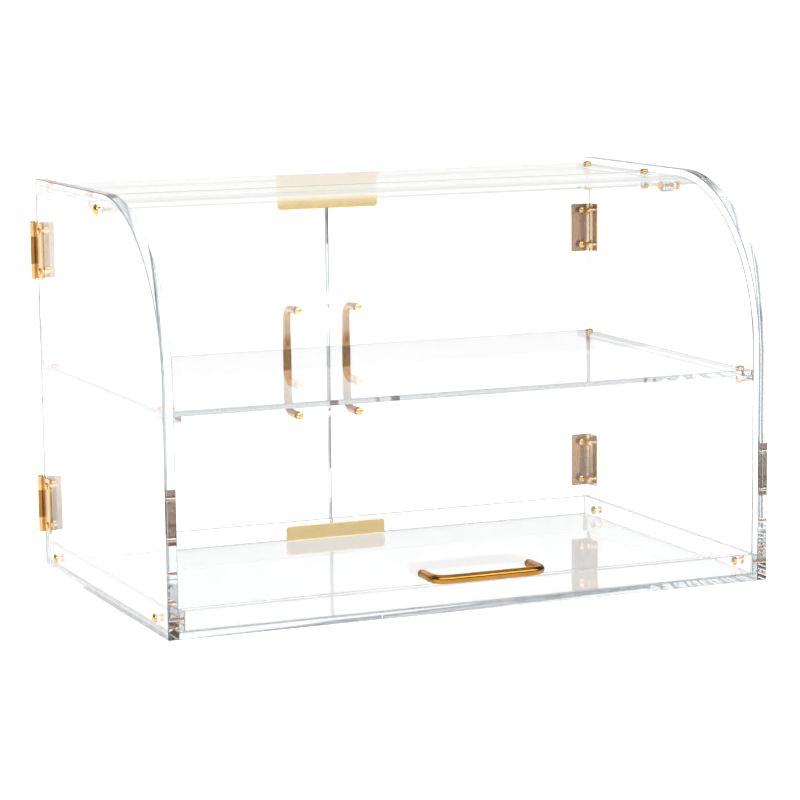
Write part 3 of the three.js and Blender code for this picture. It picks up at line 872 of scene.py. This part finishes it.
catch_thickness = 2.4 * mm
catch_corner = 3.5 * mm
catch_corner_steps = 10
catch_rim = 0.5 * mm
catch_brass = brass(
    "catch_brass", bright=(1.0, 0.74, 0.27), worn=(0.97, 0.68, 0.22), streaks=(0.15, 5, 5),
    smoothest=0.16, roughest=0.3, scratch=0.003 * mm)


def plate_corner(centre, first, last):
    """A plate's rounded corner."""
    return arc(centre, catch_corner, first, last, catch_corner_steps)


low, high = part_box("top_catch_plate")
outline = [
    (low.x, high.z),
    *plate_corner((low.x + catch_corner, low.z + catch_corner), 180, 270),
    *plate_corner((high.x - catch_corner, low.z + catch_corner), 270, 360),
    (high.x, high.z),
]
upper_catch = loose(
    "top_catch_plate_bent", [prism(outline, "y", high.y - catch_thickness, high.y)])
flange = rectangle((low.y, high.z - catch_thickness), (high.y - catch_thickness / 2, high.z))
worked(upper_catch, "UNION", [prism(flange, "x", low.x, high.x)])

low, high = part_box("floor_catch_plate")
outline = [
    (low.x, low.z), (high.x, low.z),
    *plate_corner((high.x - catch_corner, high.z - catch_corner), 0, 90),
    *plate_corner((low.x + catch_corner, high.z - catch_corner), 90, 180),
]
lower_catch = loose("floor_catch_plate_strip", [prism(outline, "y", low.y, high.y)])

for piece, node in ((upper_catch, "top_catch_plate"), (lower_catch, "floor_catch_plate")):
    soften(piece, catch_rim, steps=3)
    piece.data.materials.append(catch_brass)
    stand_in(piece, node)

# Studio
# A white table lit from below that runs on out of sight, with a pale wall behind it, a soft light
# in front above the camera and a dim room all round.

table_reach = 40
table_depth = 0.4
table_drop = 0.3 * mm
table_glow = 0.88
room_colour = (1.0, 0.995, 0.985, 1)
room_glow = 0.12
wall_glow = 0.7
backdrop_glow = 0.2
front_glow = 4.0
overhead_glow = 0.8

square = rectangle((-table_reach, -table_reach), (table_reach, table_reach))
table = loose("table_top", [prism(square, "z", -table_depth, -table_drop)])
table_paint = bpy.data.materials.new("white_table")
wire = cleared(table_paint)
surface = wire.node("ShaderNodeBsdfPrincipled", {}, {
    "Base Color": (0.85, 0.85, 0.85, 1),
    "Roughness": 0.9,
    "Specular IOR Level": 0.1,
    "Emission Color": (1, 1, 1, 1),
    "Emission Strength": table_glow,
})
wire.node("ShaderNodeOutputMaterial", {}, {"Surface": surface})
table.data.materials.append(table_paint)

room_light = bpy.data.worlds.new("studio")
wire = cleared(room_light)
direction = wire.node("ShaderNodeTexCoord", output="Generated")
height = wire.node("ShaderNodeSeparateXYZ", {}, {"Vector": direction}, output="Z")
depth = wire.node("ShaderNodeSeparateXYZ", {}, {"Vector": direction}, output="Y")
overhead = height.between(0.8, 0.93)
front = depth.between(-0.35, -0.6) * height.between(0.25, 0.45) * (1 - height.between(0.68, 0.8))
wall = depth.between(0.6, 0.85)
backdrop = wall * height.between(0.3, 0.38) * (1 - height.between(0.55, 0.8))
glow = wire.node("ShaderNodeBackground", {}, {
    "Color": room_colour,
    "Strength": (room_glow + wall * wall_glow + backdrop * backdrop_glow
                 + front * front_glow + overhead * overhead_glow),
})
wire.node("ShaderNodeOutputWorld", {}, {"Surface": glow})
bpy.context.scene.world = room_light

# Camera
# It stands left of the middle and a little above the case, as far off as for the photograph. The
# focal length is in pixels of a picture 800 pixels wide.

camera_place = Vector((-1.06235, -2.50072, 0.55695))
camera_yaw, camera_pitch, camera_roll = (math.radians(angle) for angle in (23.43, 9.49, -0.58))
focal_pixels = 3064.98
picture_width = 800
sensor_width = 36
far_end = 200

ahead = Vector((
    math.sin(camera_yaw) * math.cos(camera_pitch),
    math.cos(camera_yaw) * math.cos(camera_pitch),
    -math.sin(camera_pitch),
))
level = Vector((math.cos(camera_yaw), -math.sin(camera_yaw), 0))
upright = level.cross(ahead)
rightward = level * math.cos(camera_roll) + upright * math.sin(camera_roll)
upward = upright * math.cos(camera_roll) - level * math.sin(camera_roll)
lens = bpy.data.cameras.new("camera")
lens.sensor_width = sensor_width
lens.lens = focal_pixels * sensor_width / picture_width
lens.shift_x = -0.025
lens.shift_y = 0.075
lens.clip_end = far_end
camera = bpy.data.objects.new("camera", lens)
turn = Matrix((rightward, upward, -ahead)).transposed().to_4x4()
camera.matrix_world = Matrix.Translation(camera_place) @ turn
bpy.context.scene.collection.objects.link(camera)
bpy.context.scene.camera = camera

scene = bpy.context.scene
scene.view_settings.view_transform = "Standard"
scene.cycles.max_bounces = 64
scene.cycles.transmission_bounces = 64
scene.cycles.glossy_bounces = 64
scene.cycles.diffuse_bounces = 3
